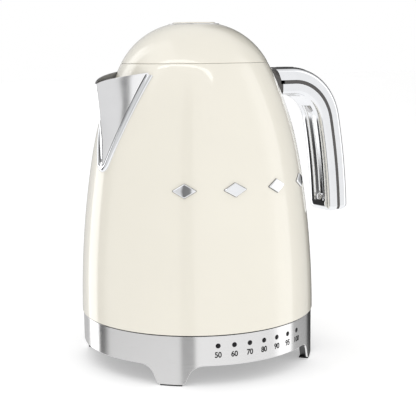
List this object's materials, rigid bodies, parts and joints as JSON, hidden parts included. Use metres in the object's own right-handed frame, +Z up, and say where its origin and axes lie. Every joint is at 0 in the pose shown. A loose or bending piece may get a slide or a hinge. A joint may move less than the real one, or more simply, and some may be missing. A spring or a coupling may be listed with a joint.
{
  "type": "electric kettle",
  "caption": "Cordless electric kettle: domed painted jug with folded spout and open-ended handle on a round power base with four legs and a temperature scale.",
  "frame": {"origin": "where the swivel axis meets the worktop, under the middle of the base", "axes": "+Z up; the spout points to -X, the handle to +X, and the row of lamps faces -Y"},
  "size_m": [0.2233, 0.1714, 0.2443],
  "materials": {
    "painted_steel": "gloss cream paint",
    "chrome": "polished",
    "brushed_steel": "satin, brushed round the ring",
    "stainless": "bright stainless",
    "black_plastic": "matte moulded",
    "grey_plastic": "satin moulded",
    "brass": "bright",
    "circuit_board": "solder mask",
    "lens": "smoked clear",
    "window": "clear",
    "rubber": "matte"
  },
  "bodies": {
    "base": {"base_ring": "brushed_steel", "base_top_plate": "black_plastic", "base_bottom_cover": "black_plastic", "base_screws": "stainless", "foot_pad_1": "rubber", "foot_pad_2": "rubber", "foot_pad_3": "rubber", "foot_pad_4": "rubber", "base_connector": "black_plastic", "live_contact_ring": "brass", "earth_contact_ring": "brass", "control_board": "circuit_board", "indicator_leds": "lens", "indicator_light_guide": "lens", "button_board": "circuit_board", "button_switches": "black_plastic", "cord_gland": "rubber"},
    "turn_core": {"connector_pin": "brass"},
    "start_button": {"start_button": "black_plastic"},
    "temperature_button": {"temperature_button": "black_plastic"},
    "jug": {"badge_1": "chrome", "badge_2": "chrome", "badge_3": "chrome", "badge_4": "chrome", "filter_guides": "grey_plastic", "handle_collar": "grey_plastic", "handle_core": "grey_plastic", "handle_inner_shell": "chrome", "handle_outer_shell": "chrome", "handle_plugs": "chrome", "handle_screws": "stainless", "heater_plate": "stainless", "heater_seal": "rubber", "heating_element": "stainless", "hinge_pin": "stainless", "jug_bottom_cover": "black_plastic", "jug_connector": "black_plastic", "jug_contacts": "brass", "jug_neck": "grey_plastic", "jug_shell": "painted_steel", "level_window": "window", "level_window_frame": "chrome", "lid_button_spring": "stainless", "lid_spring": "stainless", "spout": "chrome", "spout_trim": "chrome", "temperature_probe": "stainless", "thermal_cutouts": "black_plastic"},
    "lid": {"lid_dome": "painted_steel", "lid_top_disc": "chrome", "lid_inner_plate": "grey_plastic", "lid_seal": "rubber", "lid_hinge_arm": "painted_steel"},
    "release_button": {"lid_release_button": "grey_plastic"},
    "latch": {"lid_latch": "grey_plastic"},
    "filter": {"filter_frame": "stainless", "filter_mesh": "stainless"}
  },
  "joints": [
    {"name": "jug_swivel", "type": "hinge", "parent": "base", "child": "turn_core", "pos_m": [0, 0, 0.035], "axis": [0, 0, 1], "continuous": true},
    {"name": "jug_lift", "type": "slide", "parent": "turn_core", "child": "jug", "axis": [0, 0, 1], "range_m": [0, 0.1]},
    {"name": "lid_hinge", "type": "hinge", "parent": "jug", "child": "lid", "pos_m": [0.063, 0, 0.2046], "axis": [0, 1, 0], "range_deg": [0, 75]},
    {"name": "release_press", "type": "slide", "parent": "jug", "child": "release_button", "axis": [0, 0, -1], "range_m": [0, 0.0022], "stiffness_N_per_m": 1500, "deforming": ["lid_button_spring"]},
    {"name": "latch_slide", "type": "slide", "parent": "jug", "child": "latch", "axis": [1, 0, 0], "range_m": [0, 0.002]},
    {"name": "start_press", "type": "slide", "parent": "base", "child": "start_button", "axis": [-1, 0, 0], "range_m": [0, 0.0012], "stiffness_N_per_m": 1500},
    {"name": "temperature_press", "type": "slide", "parent": "base", "child": "temperature_button", "axis": [-1, 0, 0], "range_m": [0, 0.0012], "stiffness_N_per_m": 1500},
    {"name": "filter_lift", "type": "slide", "parent": "jug", "child": "filter", "axis": [0.2965, 0, 0.955], "range_m": [0, 0.012]}
  ],
  "couplings": [
    {"joint": "latch_slide", "follows": "release_press", "ratio": 0.909}
  ]
}
